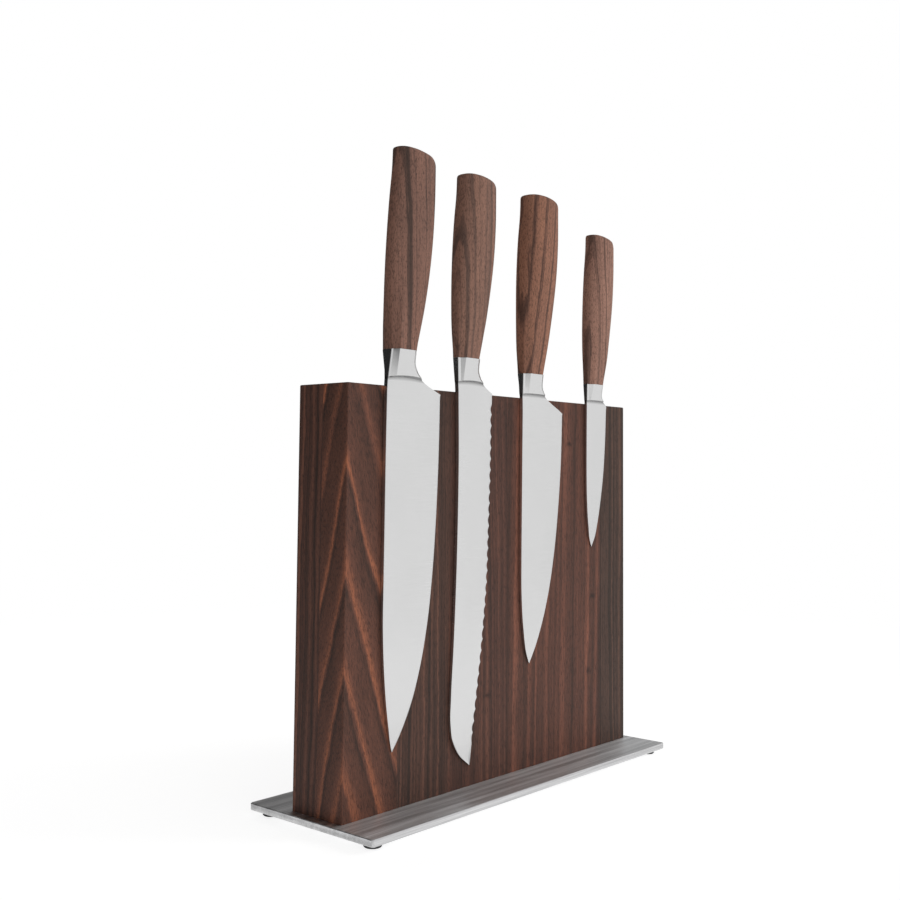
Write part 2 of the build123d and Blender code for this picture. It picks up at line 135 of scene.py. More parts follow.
# Each knife in its own frame: X from spine to edge, Y = 0 at the blade's back, Z up, and the origin
# where the spine meets the joint of bolster and handle. "place" is that point in the row frame's X
# and Z. Blade stations run down from the heel to the point: (distance below the joint, spine X,
# edge X). Belly points run down from the joint to the heel: (distance below the joint, X). Pairs of
# bolster sizes are at the joint and at the shoulder. The ledge beside the spine flat is (size in X,
# in Y). The arch is how much higher the bolster's lower end lies in its middle. The handle's half
# thickness is (slim, full).
KNIVES = {
    "chefs_knife": {
        "place": (-111.5, 268.0),
        "blade": [
            (23.7, -1.6, 47.0),
            (60.0, -1.8, 46.2),
            (100.0, -1.8, 44.2),
            (130.0, -1.8, 41.6),
            (160.0, -1.6, 37.3),
            (185.0, 0.1, 31.2),
            (205.0, 2.6, 23.7),
            (220.0, 5.5, 15.3),
            (228.5, 8.0, 9.2),
        ],
        "belly": [
            (0.0, 21.7),
            (4.0, 21.7),
            (8.0, 22.1),
            (10.7, 23.4),
            (13.0, 25.0),
            (15.2, 27.2),
            (17.4, 31.0),
            (19.5, 35.4),
            (21.5, 40.9),
            (23.7, 47.0),
        ],
        "spine_thickness": 3.1,
        "bolster_height": 16.0,
        "bolster_half_thickness": (7.2, 4.8),
        "bolster_spine_flat": (5.8, 3.0),
        "bolster_bevel": (2.9, 3.9),
        "bolster_ledge": (0.9, 0.65),
        "bolster_belly_bevel": 5.0,
        "bolster_arch": 1.1,
        "handle_length": 119.0,
        "handle_depth_scale": 1.033,
        "handle_shift": -0.31,
        "handle_half_thickness": (8.0, 8.43),
        "butt_belly_radius": 4.3,
    },
    "bread_knife": {
        "place": (-52.1, 268.0),
        "blade": [
            (20.3, 1.5, 37.4),
            (60.0, 2.5, 37.0),
            (100.0, 2.4, 35.5),
            (140.0, 1.5, 33.6),
            (175.0, 0.0, 29.6),
            (205.0, -1.7, 25.0),
            (221.0, -1.8, 22.4),
            (233.0, 1.2, 20.2),
            (241.0, 7.3, 19.0),
            (248.0, 16.6, 18.0),
        ],
        "belly": [
            (0.0, 21.1),
            (4.4, 21.1),
            (8.2, 21.6),
            (10.7, 23.0),
            (13.1, 24.8),
            (15.4, 28.0),
            (17.7, 31.9),
            (20.3, 37.4),
        ],
        "spine_thickness": 3.1,
        "bolster_height": 14.5,
        "bolster_half_thickness": (5.5, 3.4),
        "bolster_spine_flat": (4.4, 3.4),
        "bolster_bevel": (4.0, 2.9),
        "bolster_ledge": (1.7, 0.36),
        "bolster_belly_bevel": 4.0,
        "bolster_arch": 0.9,
        "handle_length": 115.0,
        "handle_depth_scale": 0.958,
        "handle_shift": -0.38,
        "handle_half_thickness": (6.6, 9.72),
        "butt_belly_radius": 4.0,
    },
    "small_chefs_knife": {
        "place": (13.8, 263.0),
        "blade": [
            (24.4, 0.7, 48.4),
            (56.0, 0.7, 47.2),
            (90.0, 0.8, 43.9),
            (120.0, 0.9, 39.2),
            (145.0, 1.5, 33.1),
            (165.0, 3.6, 25.8),
            (180.0, 6.8, 18.3),
            (189.0, 11.2, 12.4),
        ],
        "belly": [
            (0.0, 21.8),
            (5.0, 21.8),
            (9.0, 22.4),
            (11.1, 23.8),
            (13.4, 26.2),
            (15.2, 28.6),
            (17.4, 32.7),
            (19.8, 38.1),
            (22.3, 44.1),
            (24.4, 48.4),
        ],
        "spine_thickness": 2.8,
        "bolster_height": 13.2,
        "bolster_half_thickness": (5.6, 3.9),
        "bolster_spine_flat": (4.3, 3.2),
        "bolster_bevel": (3.8, 3.8),
        "bolster_ledge": (1.4, 0.45),
        "bolster_belly_bevel": 4.0,
        "bolster_arch": 0.3,
        "handle_length": 119.7,
        "handle_depth_scale": 0.999,
        "handle_shift": -0.48,
        "handle_half_thickness": (6.6, 10.23),
        "butt_belly_radius": 4.2,
    },
    "paring_knife": {
        "place": (88.9, 261.0),
        "blade": [
            (15.4, 0.6, 28.0),
            (45.0, 0.6, 26.3),
            (65.0, 0.8, 24.1),
            (83.0, 1.6, 20.7),
            (98.0, 3.2, 17.0),
            (108.0, 5.5, 13.5),
            (114.3, 8.5, 9.6),
        ],
        "belly": [
            (0.0, 19.4),
            (4.0, 19.2),
            (8.0, 19.4),
            (9.8, 20.4),
            (11.4, 22.4),
            (12.8, 25.2),
            (14.0, 27.2),
            (15.4, 28.0),
        ],
        "spine_thickness": 2.3,
        "bolster_height": 11.4,
        "bolster_half_thickness": (4.6, 2.8),
        "bolster_spine_flat": (3.6, 2.6),
        "bolster_bevel": (4.4, 2.7),
        "bolster_ledge": (1.5, 0.25),
        "bolster_belly_bevel": 3.1,
        "bolster_arch": 0.2,
        "handle_length": 107.3,
        "handle_depth_scale": 0.89,
        "handle_shift": 0.17,
        "handle_half_thickness": (5.6, 7.34),
        "butt_belly_radius": 6.6,
    },
}


# ---- Curves and meshes ----
def smooth(x, low=0.0, high=1.0):
    """0 below low, 1 above high, and an S curve between them."""
    t = min(1.0, max(0.0, (x - low) / (high - low)))
    return t * t * (3 - 2 * t)


def blend(a, b, t):
    """From a to b, also for tuples."""
    if isinstance(a, tuple):
        return tuple(p + (q - p) * t for p, q in zip(a, b))
    return a + (b - a) * t


def rise(points, n, column):
    """The slope of the straight line from point n to the next."""
    a, b = points[n], points[n + 1]
    return (b[column] - a[column]) / (b[0] - a[0])


def slope(points, n, column):
    """The slope of the smooth curve at point n, weighted by how far its neighbours are."""
    if n == 0:
        return rise(points, 0, column)
    if n == len(points) - 1:
        return rise(points, n - 1, column)
    share = (points[n][0] - points[n - 1][0]) / (points[n + 1][0] - points[n - 1][0])
    return blend(rise(points, n - 1, column), rise(points, n, column), share)


def follow(points, x, column):
    """The value of a column at x, on a smooth cubic curve through the points."""
    n = 0
    while n < len(points) - 2 and x > points[n + 1][0]:
        n += 1
    a, b = points[n], points[n + 1]
    span = b[0] - a[0]
    t = (x - a[0]) / span
    start = (2 * t**3 - 3 * t**2 + 1) * a[column]
    leaving = (t**3 - 2 * t**2 + t) * span * slope(points, n, column)
    end = (3 * t**2 - 2 * t**3) * b[column]
    arriving = (t**3 - t**2) * span * slope(points, n + 1, column)
    return start + leaving + end + arriving


def steps(start, stop, size):
    """Evenly spaced values from start to the first one that isn't below stop."""
    values = [start]
    while values[-1] < stop:
        values.append(values[-1] + size)
    return values


def link(thing):
    """Puts an object into the scene."""
    bpy.context.scene.collection.objects.link(thing)
    return thing


def mesh_piece(name, points, faces, material, smooth_angle):
    """A mesh object from points in millimetres, smooth except at edges sharper than the angle."""
    mesh = bpy.data.meshes.new(name)
    mesh.from_pydata([Vector(p) * MM for p in points], [], faces)
    mesh.validate()
    mesh.shade_smooth()
    mesh.set_sharp_from_angle(angle=math.radians(smooth_angle))
    mesh.materials.append(material)
    return link(bpy.data.objects.new(name, mesh))


def tube_faces(rings, count):
    """Quads between rings of points, and one cap at each end."""
    faces = [tuple(reversed(range(count)))]
    for r in range(rings - 1):
        for c in range(count):
            d = (c + 1) % count
            faces.append((r * count + c, r * count + d, (r + 1) * count + d, (r + 1) * count + c))
    faces.append(tuple((rings - 1) * count + c for c in range(count)))
    return faces


# ---- Blades ----
def is_serrated(knife):
    return knife is KNIVES[SERRATED_KNIFE]


def scallop(knife, drop):
    """How far the serrated edge lies back at a height: sharp crests and round valleys."""
    if not is_serrated(knife):
        return 0.0
    phase = (drop - SERRATION_CREST) / SERRATION_PITCH
    fade = smooth(drop, *SERRATION_START) * (1 - smooth(drop, *SERRATION_END))
    return SERRATION_DEPTH * abs(math.sin(math.pi * phase)) ** SERRATION_EXPONENT * fade


def honed_width(knife, drop):
    """The width of the honed edge."""
    if not is_serrated(knife):
        return HONED_WIDTH
    return blend(HONED_WIDTH, SERRATED_HONED_WIDTH, smooth(drop, *SERRATED_WIDENING))


def blade_outline(knife, drop):
    """Spine X, edge X, thickness at the spine, where the wedge ends, and how far it is ground."""
    heel, heel_spine, heel_edge = knife["blade"][0]
    tip = knife["blade"][-1][0]
    if drop < heel:
        edge = follow(knife["belly"], drop, 1)
        return heel_spine * drop / heel, edge, knife["spine_thickness"], heel_edge, 0.0
    edge = follow(knife["blade"], drop, 2)
    thick = blend(knife["spine_thickness"], TIP_THICKNESS, (drop - heel) / (tip - heel))
    thick *= 1 - 0.5 * smooth(drop, tip - POINT_LENGTH, tip)
    return follow(knife["blade"], drop, 1), edge, thick, edge, smooth(drop, heel, heel + HEEL_GRIND)


def blade_corners(knife, drop):
    """Ten corners of the ground blade, front then back: spine, two beside it, hone, edge."""
    spine, crest, thick, wedge_end, ground = blade_outline(knife, drop)
    valley = scallop(knife, drop)
    edge = crest - valley
    width = edge - spine

    def front(x):
        share = (x - spine) / max(wedge_end - spine, LEAST_WIDTH)
        return -blend(thick, EDGE_THICKNESS, min(1.0, share))

    hone = min(honed_width(knife, drop) - valley, BEVEL_LIMIT * width)
    near_spine = spine + min(knife["bolster_bevel"][1], BEVEL_LIMIT * width)
    between = (spine + near_spine) / 2
    near_edge = edge - hone
    edge_y = front(edge)
    left = blend(0.5, HONED_SHARE, ground) * edge_y
    return [
        (spine, front(spine)),
        (between, front(between)),
        (near_spine, front(near_spine)),
        (near_edge, front(near_edge)),
        (edge, blend(edge_y, edge_y / 2 + left / 2, ground)),
        (edge, blend(0.0, edge_y / 2 - left / 2, ground)),
        (edge - HONED_BACK_SHARE * hone, 0.0),
        (near_spine, 0.0),
        (between, 0.0),
        (spine, 0.0),
    ]


def bolster_corners(knife, drop):
    """Ten corners of the bolster, front then back: spine flat, ledge, bevel, broad side, belly."""
    share = min(1.0, drop / knife["bolster_height"])
    half = blend(*knife["bolster_half_thickness"], share)
    flat = blend(*knife["bolster_spine_flat"], share)
    bevel = blend(*knife["bolster_bevel"], share)
    heel, heel_spine, _ = knife["blade"][0]
    spine = heel_spine * drop / heel
    belly = follow(knife["belly"], drop, 1)
    ledge_x, ledge_y = knife["bolster_ledge"]
    side = [
        (spine, flat / 2),
        (spine + ledge_x, flat / 2 + ledge_y),
        (spine + bevel, half),
        (belly - knife["bolster_belly_bevel"], half),
        (belly, blend(*BELLY_FLAT, share) * half),
    ]
    middle = -knife["spine_thickness"] / 2
    front = [(x, middle - y) for x, y in side]
    back = [(x, middle + y) for x, y in reversed(side)]
    return front + back


def shoulder_corners(knife, drop):
    """Between bolster and blade: the front thins in a hollow curve, and the back in a short step."""
    below = drop - knife["bolster_height"]
    front_share = math.exp(-SHOULDER_DECAY * below)
    front_share *= 1 - smooth(below, SHOULDER_FADE_START, SHOULDER_LENGTH)
    back_share = max(0.0, 1 - below / SHOULDER_BACK_LENGTH) ** 2
    outline_share = smooth(below, 0.0, SHOULDER_OUTLINE_LENGTH)
    upper = bolster_corners(knife, drop)
    lower = blade_corners(knife, drop)
    corners = []
    for n, (above, under) in enumerate(zip(upper, lower)):
        share = front_share if n < len(upper) / 2 else back_share
        corners.append((blend(above[0], under[0], outline_share), blend(under[1], above[1], share)))
    return corners


def corners_at(knife, drop):
    """Ten corners of the bolster, the shoulder or the blade, whichever is at that height."""
    below = drop - knife["bolster_height"]
    if below <= 0:
        return bolster_corners(knife, drop)
    if below < SHOULDER_LENGTH:
        return shoulder_corners(knife, drop)
    return blade_corners(knife, drop)


def chamfered(corners, cuts):
    """Each corner of a closed outline as two points, cut back along its sides."""
    points = []
    count = len(corners)
    for n, corner in enumerate(corners):
        here = Vector(corner)
        for other in (corners[n - 1], corners[(n + 1) % count]):
            side = Vector(other) - here
            cut = min(cuts[n], CUT_LIMIT * side.length)
            points.append(tuple(here + side.normalized() * cut) if side.length > 1e-6 else corner)
    return points


def broad_faces_split(points):
    """More points across the two broad faces of a ring of twenty, so that they can bend."""
    ring = []
    for n, point in enumerate(points):
        ring.append(point)
        if n in (5, 13):
            after = points[n + 1]
            ring += [blend(point, after, step / BROAD_STEPS) for step in range(1, BROAD_STEPS)]
    return ring


def blade_ring(knife, drop):
    """One ring of (X, Y, height above the joint)."""
    corners = corners_at(knife, drop)
    height = knife["bolster_height"]
    sharp = smooth(drop, height, height + SHOULDER_LENGTH)
    cuts = [blend(rounded, cut, sharp) for rounded, cut in zip(BOLSTER_CUTS, BLADE_CUTS)]
    if drop == 0:
        middle = (knife["belly"][0][1] / 2, -knife["spine_thickness"] / 2)
        corners = [blend(corner, middle, JOINT_EASE) for corner in corners]
    spine, edge = corners[0][0], corners[4][0]
    ring = broad_faces_split(chamfered(corners, cuts))
    return [(x, y, arch_lift(knife, drop, (x - spine) / (edge - spine)) - drop) for x, y in ring]


def arch_lift(knife, drop, share):
    """The bolster's lower end is ground in an arch: its middle lies higher than its two sides."""
    share = min(1.0, max(0.0, share))
    height = knife["bolster_height"]
    near = smooth(drop, ARCH_START * height, height) * (1 - smooth(drop, height, height + ARCH_END))
    return knife["bolster_arch"] * (1 - (2 * share - 1) ** 2) * near


def blade_drops(knife):
    """How far the rings lie below the joint, from the joint down to the point."""
    height, heel, tip = knife["bolster_height"], knife["blade"][0][0], knife["blade"][-1][0]
    collar = [height * n / COLLAR_RINGS for n in range(1, COLLAR_RINGS)]
    collar = [0.0, COLLAR_END_STEP] + collar + [height - COLLAR_END_STEP, height]
    shoulder = [height + step for step in SHOULDER_STEPS]
    choil = steps(height + CHOIL_START, heel - CHOIL_END_ROOM, CHOIL_STEP)
    step = SERRATION_PITCH / SERRATED_RINGS if is_serrated(knife) else BLADE_STEP
    near_heel = steps(heel, heel + HEEL_STEPS_END, min(step, HEEL_STEP))
    blade = steps(near_heel[-1], tip - POINT_ROOM, step)
    point = [blend(blade[-1], tip, n / POINT_RINGS) for n in range(POINT_RINGS + 1)]
    return collar + shoulder + choil[:-1] + near_heel[:-1] + blade[:-1] + point


def mark_painted_shade(piece, knife, drops):
    """A value for the steel's node graph that paints shade into the hollow just below the bolster: 1
    there, and 0 elsewhere.
    """
    painted_shade = piece.data.attributes.new("painted_shade", "FLOAT", "POINT")
    count = len(piece.data.vertices) // len(drops)
    for n, drop in enumerate(drops):
        below = drop - knife["bolster_height"]
        dark = smooth(below, *PAINTED_SHADE_START) * (1 - smooth(below, *PAINTED_SHADE_END))
        for c in range(count):
            painted_shade.data[n * count + c].value = dark


def blade_piece(name, knife, material):
    """Blade and bolster as one mesh of rings."""
    x0, z0 = knife["place"]
    drops = blade_drops(knife)
    rings = [blade_ring(knife, drop) for drop in drops]
    points = [(x0 + x, BLADE_BACK_Y + y, z0 + z) for ring in rings for x, y, z in ring]
    faces = tube_faces(len(rings), len(rings[0]))
    piece = mesh_piece(name, points, faces, material, BLADE_SMOOTH_ANGLE)
    # Marks where shade is painted into the steel, in the hollow just below the bolster
    mark_painted_shade(piece, knife, drops)
    return piece


# ---- Handles ----
def octagon_reach(corners, direction):
    """How far the outline lies from its centre in a direction."""
    best = None
    for n, here in enumerate(corners):
        side = corners[(n + 1) % len(corners)] - here
        cross = direction.x * side.y - direction.y * side.x
        if abs(cross) < 1e-9:
            continue
        reach = (here.x * side.y - here.y * side.x) / cross
        along = (here.x * direction.y - here.y * direction.x) / cross
        if reach > 0 and -1e-6 <= along <= 1 + 1e-6 and (best is None or reach < best):
            best = reach
    return best


def facets(knife, half_depth, half):
    """The bolster's corners without its ledges, about their centre, stretched to the handle's size."""
    depth = knife["belly"][0][1]
    corners = bolster_corners(knife, 0.0)
    octagon = [corners[0]] + corners[2:8] + [corners[9]]
    full_half = knife["bolster_half_thickness"][0]
    middle = knife["spine_thickness"] / 2
    return [
        Vector(((2 * x / depth - 1) * half_depth, (y + middle) / full_half * half))
        for x, y in octagon
    ]


def handle_sides(knife, along, shift):
    """Spine X and belly X at a fraction of the handle's length."""
    scale = knife["handle_depth_scale"]
    return [follow(HANDLE_STATIONS, along, column) * scale + shift for column in (1, 2)]


def handle_point(knife, angle, height):
    """A point of the handle's outline at a height above the joint."""
    along = height / knife["handle_length"]
    shift = knife["handle_shift"] * smooth(height, 0.0, SHIFT_LENGTH)
    spine, belly = handle_sides(knife, along, shift)
    slim, full = knife["handle_half_thickness"]
    half = blend(slim, full, follow(HANDLE_STATIONS, along, 3))
    half += (knife["bolster_half_thickness"][0] - slim) * (1 - smooth(height, 0.0, BOLSTER_FADE))
    power = 2 / SECTION_EXPONENT
    cos, sin = math.cos(angle), math.sin(angle)
    half_depth = (belly - spine) / 2
    x = half_depth * math.copysign(abs(cos) ** power, cos)
    y = half * math.copysign(abs(sin) ** power, sin)
    offset = Vector((x, y))
    facet = 1 - smooth(height, 0.0, FACETS_FADE)
    if facet > 0:
        reach = octagon_reach(facets(knife, half_depth, half), offset.normalized())
        offset = offset * blend(1.0, reach / offset.length, facet)
    return Vector(((spine + belly) / 2 + offset.x, offset.y - knife["spine_thickness"] / 2))


def butt_height(knife, x):
    """The height of the sloping butt at an X."""
    spine, belly = handle_sides(knife, 1.0, knife["handle_shift"])
    share = (x - spine) / (belly - spine)
    fall = BUTT_DROP * smooth(share, 0.0, BUTT_SLOPE_END) * max(0.0, share)
    return knife["handle_length"] - fall


def butt_radius(knife, angle):
    """The rounding of the butt's rim: wide at the belly, small at the spine."""
    lean = math.cos(angle)
    end = knife["butt_belly_radius"] if lean > 0 else BUTT_SPINE_RADIUS
    return blend(BUTT_SIDE_RADIUS, end, smooth(abs(lean), BUTT_SIDE_END, 1.0))


def wall_ring(knife, share):
    """A ring from the joint, at share 0, to where the rim's rounding starts, at share 1."""
    ring = []
    for angle in HANDLE_ANGLES:
        rim = handle_point(knife, angle, knife["handle_length"])
        top = butt_height(knife, rim.x) - butt_radius(knife, angle)
        height = blend(HANDLE_START, top, share)
        spot = handle_point(knife, angle, height)
        ring.append((spot.x, spot.y, height))
    return ring


def rim_ring(knife, centre, turn):
    """A ring of the rim's rounding, turned by an angle from the wall towards the butt."""
    ring = []
    for angle in HANDLE_ANGLES:
        rim = handle_point(knife, angle, knife["handle_length"])
        radius = butt_radius(knife, angle)
        spot = rim + (centre - rim).normalized() * radius * (1 - math.cos(turn))
        height = butt_height(knife, spot.x) - radius * (1 - math.sin(turn))
        ring.append((spot.x, spot.y, height))
    return ring


def butt_ring(knife, centre, edge, share):
    """A smaller copy of the butt's edge, on the butt."""
    ring = []
    for x, y, _ in edge:
        inner_x = blend(centre.x, x, share)
        ring.append((inner_x, blend(centre.y, y, share), butt_height(knife, inner_x)))
    return ring


def handle_piece(name, knife, material):
    """One handle as rings from the joint to the rim, over the rounded rim and in to the centre."""
    rings = [wall_ring(knife, n / WALL_RINGS) for n in range(WALL_RINGS + 1)]
    top = rings[-1]
    centre = Vector((sum(p[0] for p in top) / len(top), sum(p[1] for p in top) / len(top)))
    quarter = math.pi / 2
    rings += [rim_ring(knife, centre, quarter * n / RIM_RINGS) for n in range(1, RIM_RINGS + 1)]
    edge = rings[-1]
    rings += [butt_ring(knife, centre, edge, share) for share in BUTT_RINGS]
    x0, z0 = knife["place"]
    points = [(x0 + x, BLADE_BACK_Y + y, z0 + z) for ring in rings for x, y, z in ring]
    faces = tube_faces(len(rings), HANDLE_COLUMNS)
    return mesh_piece(name, points, faces, material, HANDLE_SMOOTH_ANGLE)


# ---- Node graphs ----
def srgb(red, green, blue):
    """A colour as shown on a screen, 0 to 255, in linear numbers."""
    out = []
    for value in (red, green, blue):
        share = value / 255
        out.append(share / 12.92 if share <= 0.04045 else ((share + 0.055) / 1.055) ** 2.4)
    return tuple(out)


def map_range(tree, value, source, result, kind="SMOOTHSTEP"):
    """A node that maps one range of values to another."""
    node = tree.nodes.new("ShaderNodeMapRange")
    node.interpolation_type = kind
    tree.links.new(value, node.inputs["Value"])
    node.inputs["From Min"].default_value, node.inputs["From Max"].default_value = source
    node.inputs["To Min"].default_value, node.inputs["To Max"].default_value = result
    return node.outputs["Result"]


class Graph:
    """A material's nodes. Positions in it are millimetres of the row frame."""

    def __init__(self, name):
        self.material = bpy.data.materials.new(name)
        self.material.use_nodes = True
        self.tree = self.material.node_tree
        self.tree.nodes.clear()
        output = self.tree.nodes.new("ShaderNodeOutputMaterial")
        self.shader = self.tree.nodes.new("ShaderNodeBsdfPrincipled")
        self.join(self.shader.outputs["BSDF"], output.inputs["Surface"])
        coordinates = self.tree.nodes.new("ShaderNodeTexCoord")
        self.place = self.scaled(coordinates.outputs["Object"], (1 / MM, 1 / MM, 1 / MM))

    def join(self, source, target):
        self.tree.links.new(source, target)

    def put(self, socket, value):
        """A link where value is another node's output, else a plain value."""
        if isinstance(value, bpy.types.NodeSocket):
            self.join(value, socket)
        else:
            socket.default_value = value

    def set(self, **values):
        """The shader's sockets, by their names in lower case with underscores."""
        for name, value in values.items():
            socket = name.replace("_", " ").title().replace("Ior", "IOR")
            self.put(self.shader.inputs[socket], value)

    def scaled(self, vector, scale):
        node = self.tree.nodes.new("ShaderNodeMapping")
        self.join(vector, node.inputs["Vector"])
        node.inputs["Scale"].default_value = scale
        return node.outputs["Vector"]

    def math(self, operation, a, b=0.0):
        node = self.tree.nodes.new("ShaderNodeMath")
        node.operation = operation
        self.put(node.inputs[0], a)
        self.put(node.inputs[1], b)
        return node.outputs[0]

    def add(self, value, extra, strength):
        """A value plus another one times a strength."""
        return self.math("ADD", value, self.math("MULTIPLY", extra, strength))

    def sway(self, value, noise, strength):
        """A value moved up and down by a noise."""
        return self.add(value, self.math("SUBTRACT", noise, 0.5), strength)

    def vector(self, operation, a, b=(0, 0, 0), scale=1.0):
        node = self.tree.nodes.new("ShaderNodeVectorMath")
        node.operation = operation
        self.put(node.inputs[0], a)
        if operation == "SCALE":
            self.put(node.inputs["Scale"], scale)
        elif operation != "LENGTH":
            self.put(node.inputs[1], b)
        return node.outputs["Value" if operation in ("DOT_PRODUCT", "LENGTH") else "Vector"]

    def noise(self, place, scale, detail, roughness, output="Fac"):
        """Noise with this many features in a millimetre along X, Y and Z."""
        node = self.tree.nodes.new("ShaderNodeTexNoise")
        self.join(self.scaled(place, scale), node.inputs["Vector"])
        node.inputs["Scale"].default_value = 1.0
        node.inputs["Detail"].default_value = detail
        node.inputs["Roughness"].default_value = roughness
        return node.outputs[output]

    def bands(self, w, detail, roughness):
        """Noise along one number: uneven stripes."""
        node = self.tree.nodes.new("ShaderNodeTexNoise")
        node.noise_dimensions = "1D"
        self.join(w, node.inputs["W"])
        node.inputs["Scale"].default_value = 1.0
        node.inputs["Detail"].default_value = detail
        node.inputs["Roughness"].default_value = roughness
        return node.outputs["Fac"]

    def spread(self, value, low, high, to_low, to_high):
        """A smooth step between two values."""
        return map_range(self.tree, value, (low, high), (to_low, to_high))

    def ramp(self, value, stops):
        node = self.tree.nodes.new("ShaderNodeValToRGB")
        self.join(value, node.inputs["Fac"])
        elements = node.color_ramp.elements
        while len(elements) < len(stops):
            elements.new(0.5)
        for element, (position, colour) in zip(elements, stops):
            element.position = position
            element.color = (*colour, 1.0)
        return node.outputs["Color"]

    def mix(self, share, a, b):
        node = self.tree.nodes.new("ShaderNodeMix")
        node.data_type = "RGBA"
        self.put(node.inputs["Factor"], share)
        self.put(node.inputs[6], a)
        self.put(node.inputs[7], b)
        return node.outputs[2]

    def bump(self, height, distance, strength=1.0):
        """Height 0 to 1, standing for a distance in millimetres."""
        node = self.tree.nodes.new("ShaderNodeBump")
        node.inputs["Strength"].default_value = strength
        node.inputs["Distance"].default_value = distance * MM
        self.join(height, node.inputs["Height"])
        return node.outputs["Normal"]


# ---- Walnut ----
BLACKISH = srgb(30, 25, 23)
# Tones of wood: dark, middle, light and pore
STAVE_TONES = {
    "stripy": (srgb(50, 38, 33), srgb(104, 67, 54), srgb(168, 102, 72), BLACKISH),
    "dark": (srgb(50, 39, 34), srgb(80, 56, 47), srgb(108, 74, 61), BLACKISH),
    "red_dark": (srgb(58, 42, 36), srgb(84, 56, 47), srgb(112, 74, 60), BLACKISH),
    "red": (srgb(64, 45, 38), srgb(94, 61, 50), srgb(130, 82, 65), BLACKISH),
    "grey": (srgb(52, 42, 36), srgb(75, 56, 48), srgb(100, 73, 61), BLACKISH),
}
HANDLE_TONES = {
    "chefs_knife": (srgb(72, 55, 48), srgb(114, 84, 73), srgb(154, 112, 95), srgb(54, 42, 37)),
    "bread_knife": (srgb(98, 76, 67), srgb(126, 94, 81), srgb(156, 116, 98), srgb(66, 50, 44)),
    "small_chefs_knife": (srgb(88, 62, 52), srgb(130, 91, 75), srgb(166, 117, 93), srgb(62, 45, 38)),
    "paring_knife": (srgb(100, 74, 64), srgb(138, 102, 88), srgb(170, 128, 110), srgb(66, 50, 43)),
}
# The direction across the growth rings, divided by the millimetres from one ring to the next
RING_RISE = 58.0  # upwards, from one leaning ring to the next
LEANING_RINGS = (2.7 / RING_RISE, 4.3 / RING_RISE, 1 / RING_RISE)
HANDLE_RINGS = {
    "chefs_knife": (1 / 4.6, 0.05, 0.004),
    "bread_knife": (1 / 3.4, 0.06, 0.002),
    "small_chefs_knife": (1 / 4.2, 0.06, -0.024),
    "paring_knife": (1 / 3.8, 0.08, 0.008),
}
# How far the fibres move in X and Y for each millimetre up
FIBRE_LEAN = (-0.2, -0.06)
UPRIGHT = (0.0, 0.0)
# Knots on the front face: (X, Z, radius)
KNOTS_3 = ((-17.0, 59.0, 2.2),)
KNOTS_4 = ((100.0, 112.0, 2.6), (71.0, 218.0, 2.2), (95.0, 61.0, 2.2))
# Staves from left to right: (kind of grain, tones, rings, fibre lean, knots, contrast of plain grain)
FRONT_STAVES = [
    ("banded", "stripy", LEANING_RINGS, FIBRE_LEAN, (), 1.0),
    ("plain", "dark", (1 / 4.0, 0.05, 0.002), UPRIGHT, (), 0.9),
    ("plain", "red_dark", (1 / 6.0, 0.04, 0.003), UPRIGHT, KNOTS_3, 0.8),
    ("plain", "red", (1 / 9.0, 0.03, -0.002), UPRIGHT, KNOTS_4, 0.7),
    ("plain", "grey", (1 / 4.0, 0.05, 0.001), UPRIGHT, (), 0.9),
]
REAR_STAVES = [
    ("plain", "red_dark", (1 / 3.0, 1 / 3.0, 0.002), UPRIGHT, (), 1.0),
    ("plain", "red", (1 / 10.0, 0.04, -0.003), UPRIGHT, (), 0.8),
    ("plain", "red_dark", (1 / 9.0, 0.05, 0.002), UPRIGHT, (), 0.7),
    ("plain", "grey", (1 / 7.0, 0.03, 0.003), UPRIGHT, (), 0.7),
    ("plain", "red", (1 / 12.0, 0.06, 0.001), UPRIGHT, (), 0.8),
]
FIRST_STAVE_SEED = 1
FIRST_HANDLE_SEED = 21
SEED_STEP = (37.0, 91.0, 53.0)  # how far apart two pieces' noises are taken
GRAIN_SEED_STEP = 3.7
# Noises of wood: features in a millimetre along X, Y and Z, then detail and roughness
WANDER = ((0.035, 0.035, 0.007), 4, 0.6)
RAGGED_EDGE = ((0.8, 0.8, 0.02), 2, 0.6)
FIBRE = ((3.0, 3.0, 0.03), 4, 0.7)
CLOUD = ((0.05, 0.05, 0.012), 3, 0.55)
SMUDGE = ((0.25, 0.25, 0.35), 3, 0.6)
BOARD_PORES = ((1.9, 1.9, 0.28), 3, 0.65)
HANDLE_PORES = ((1.8, 1.8, 0.5), 3, 0.65)
# Kinds of grain: how far the rings wander in millimetres, how ragged their edges are in rings, the
# pores, and how strongly they show
GRAINS = {
    "banded": (8.0, 0.12, BOARD_PORES, 0.5),
    "plain": (9.0, 0.35, BOARD_PORES, 0.5),
    "handle": (9.0, 0.35, HANDLE_PORES, 0.6),
}
# One wide growth ring: (fraction of the ring, shade from 0 for the dark tone to 1 for the light)
RING_PROFILE = [
    (0.0, 0.34),
    (0.28, 0.26),
    (0.42, 0.08),
    (0.5, 0.5),
    (0.57, 0.98),
    (0.67, 0.7),
    (0.82, 0.46),
    (1.0, 0.34),
]
WEAK_RING_SHADE = 0.36
RING_STRENGTH_START = 3.35
